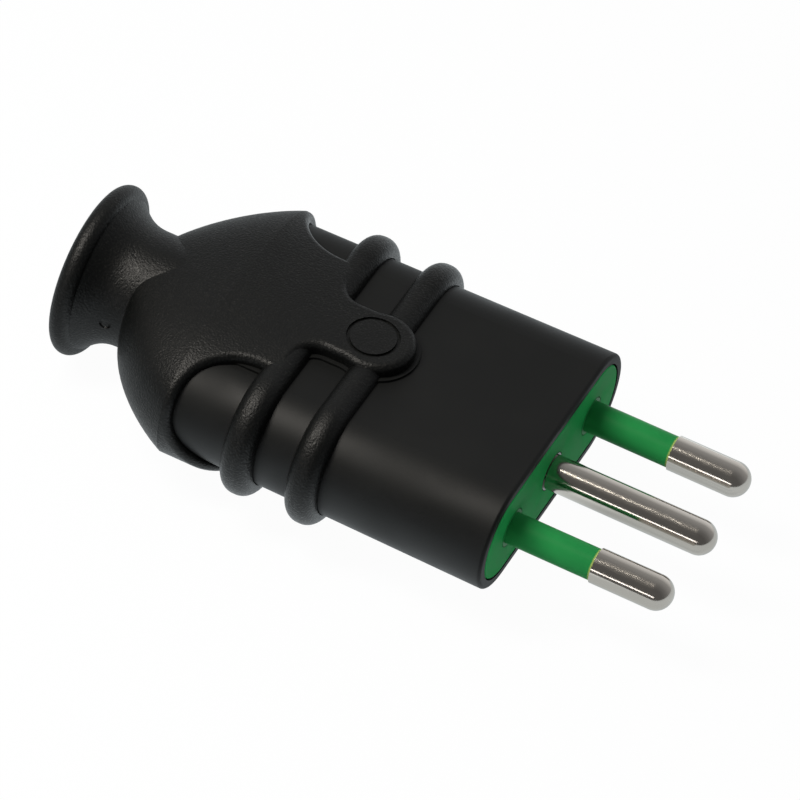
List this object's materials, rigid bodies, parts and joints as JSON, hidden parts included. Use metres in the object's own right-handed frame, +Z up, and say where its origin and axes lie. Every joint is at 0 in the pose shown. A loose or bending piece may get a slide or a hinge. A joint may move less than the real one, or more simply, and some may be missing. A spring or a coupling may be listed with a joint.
{
  "type": "mains plug",
  "caption": "Heavy-duty in-line mains plug: oblong rigid shell with a ribbed rubber grip, a flared cord collar, and round pins in a row on a flat insert.",
  "frame": {"origin": "middle of the engagement face, on the axis of the middle pin", "axes": "+X along the pins towards their tips, +Y across the row of pins, +Z up with the plug lying flat"},
  "size_m": [0.0759, 0.0374, 0.0198],
  "materials": {
    "shell_plastic": "smooth satin",
    "grip_rubber": "fine matt texture",
    "carrier_plastic": "gloss",
    "inner_plastic": "plain",
    "pin_metal": "nickel plated, polished",
    "screw_steel": "zinc plated"
  },
  "bodies": {
    "root": {"front_shell": "shell_plastic", "rubber_grip": "grip_rubber", "pin_carrier": "carrier_plastic", "pin_retainer": "inner_plastic", "cord_clamp_bar": "inner_plastic", "body_screw": "screw_steel", "line_pin": "pin_metal", "neutral_pin": "pin_metal", "earth_pin": "pin_metal", "line_pin_sleeve": "carrier_plastic", "neutral_pin_sleeve": "carrier_plastic", "line_terminal_screw": "screw_steel", "neutral_terminal_screw": "screw_steel", "earth_terminal_screw": "screw_steel", "left_retainer_screw": "screw_steel", "right_retainer_screw": "screw_steel", "left_clamp_screw": "screw_steel", "right_clamp_screw": "screw_steel", "left_clamp_nut": "screw_steel", "right_clamp_nut": "screw_steel"}
  },
  "joints": []
}
